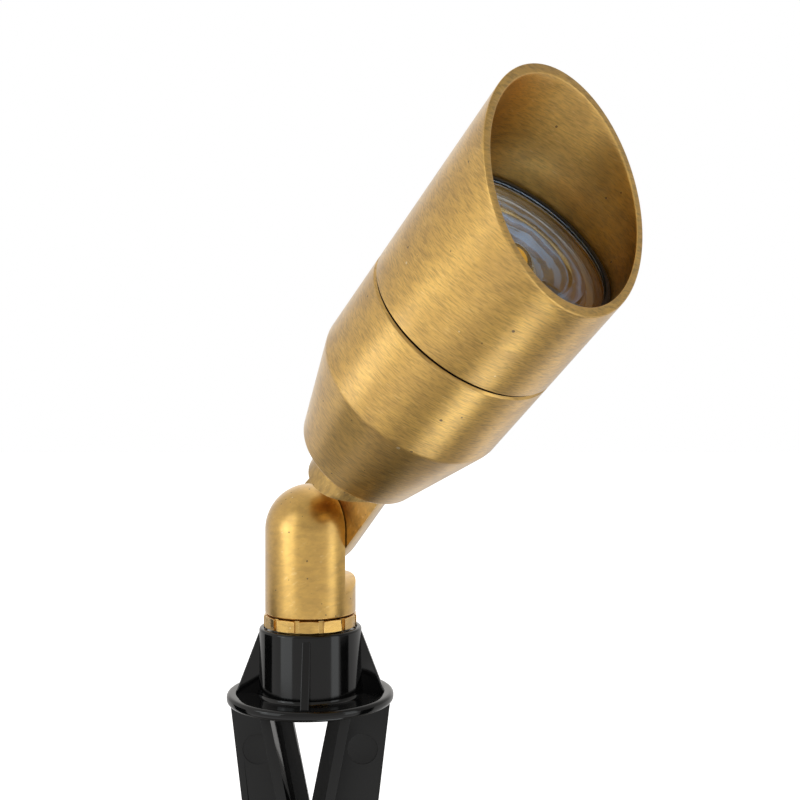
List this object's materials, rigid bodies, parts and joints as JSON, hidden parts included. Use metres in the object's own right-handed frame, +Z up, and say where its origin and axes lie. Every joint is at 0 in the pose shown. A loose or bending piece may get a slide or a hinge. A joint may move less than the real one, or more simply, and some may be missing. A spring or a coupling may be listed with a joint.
{
  "type": "garden spike spotlight",
  "caption": "Raw brass bullet spotlight with a slanted glare cap, on a lap-jointed brass knuckle and a black plastic ground spike.",
  "frame": {"origin": "on the spike's axis at the underside of its flange, which is the ground line", "axes": "+Z up along the spike's axis; the wide blade of the spike lies along X; the lamp is aimed towards +X and -Y"},
  "size_m": [0.1171, 0.1285, 0.3895],
  "materials": {
    "black_nylon": "moulded black plastic, glossy on the flange, duller on the blades",
    "knuckle_brass": "smooth turned raw brass with tiny pits, worn lap faces",
    "nut_brass": "raw machined brass",
    "body_brass": "raw brass brushed round the axis, with specks and streaks",
    "cap_brass": "raw brass brushed round the axis, darker inside",
    "black_rubber": "black silicone rubber",
    "stainless": "plain stainless steel",
    "clear_glass": "clear tempered glass",
    "optic_plastic": "clear moulded optic",
    "lamp_grey": "dark grey lamp body",
    "white_board": "white solder mask",
    "yellow_phosphor": "yellow phosphor",
    "bare_aluminium": "bare die-cast aluminium",
    "white_ceramic": "cream glazed ceramic",
    "lead_silicone": "white silicone sleeve"
  },
  "bodies": {
    "spike": {"ground_spike": "black_nylon", "spike_blades": "black_nylon"},
    "knuckle": {"lower_knuckle": "knuckle_brass", "knuckle_seal": "black_rubber"},
    "nut": {"lock_nut": "nut_brass"},
    "head": {"upper_knuckle": "knuckle_brass", "rear_housing": "body_brass", "housing_o_ring": "black_rubber", "lamp_bezel": "lamp_grey", "lamp_optic": "optic_plastic", "led_board": "white_board", "led_chip": "yellow_phosphor", "lamp_heat_sink": "bare_aluminium", "lamp_base": "lamp_grey", "lamp_pins": "stainless", "lampholder": "white_ceramic", "holder_contacts": "stainless", "holder_bracket": "stainless", "bracket_screws": "stainless", "holder_screws": "stainless", "neck_nut": "nut_brass", "wire_seal": "black_rubber", "lampholder_leads": "lead_silicone"},
    "screw": {"pivot_screw": "stainless", "screw_washer": "stainless"},
    "lens_unit": {"lens_glass": "clear_glass", "lens_gasket": "black_rubber"},
    "cap": {"glare_cap": "cap_brass"}
  },
  "joints": [
    {"name": "swivel", "type": "hinge", "parent": "spike", "child": "knuckle", "pos_m": [0, 0, 0.0278], "axis": [0, 0, 1], "range_deg": [-180, 180]},
    {"name": "nut_turn", "type": "hinge", "parent": "knuckle", "child": "nut", "pos_m": [0, 0, 0.0256], "axis": [0, 0, 1], "range_deg": [0, 60]},
    {"name": "tilt", "type": "hinge", "parent": "knuckle", "child": "head", "pos_m": [0, 0, 0.0557], "axis": [0.7559, 0.6547, 0], "range_deg": [-140.1, 39.9]},
    {"name": "screw_turn", "type": "hinge", "parent": "knuckle", "child": "screw", "pos_m": [0, 0, 0.0557], "axis": [0.7559, 0.6547, 0], "range_deg": [0, 90]},
    {"name": "cap_travel", "type": "slide", "parent": "head", "child": "lens_unit", "axis": [0.5023, -0.5799, 0.6415], "range_m": [0, 0.008]},
    {"name": "cap_turn", "type": "hinge", "parent": "lens_unit", "child": "cap", "pos_m": [-0.00166, -0.00144, 0.0557], "axis": [0.5023, -0.5799, 0.6415], "range_deg": [0, 1440]}
  ],
  "couplings": [
    {"joint": "cap_travel", "follows": "cap_turn", "m_per_rad": 0.00031831}
  ]
}
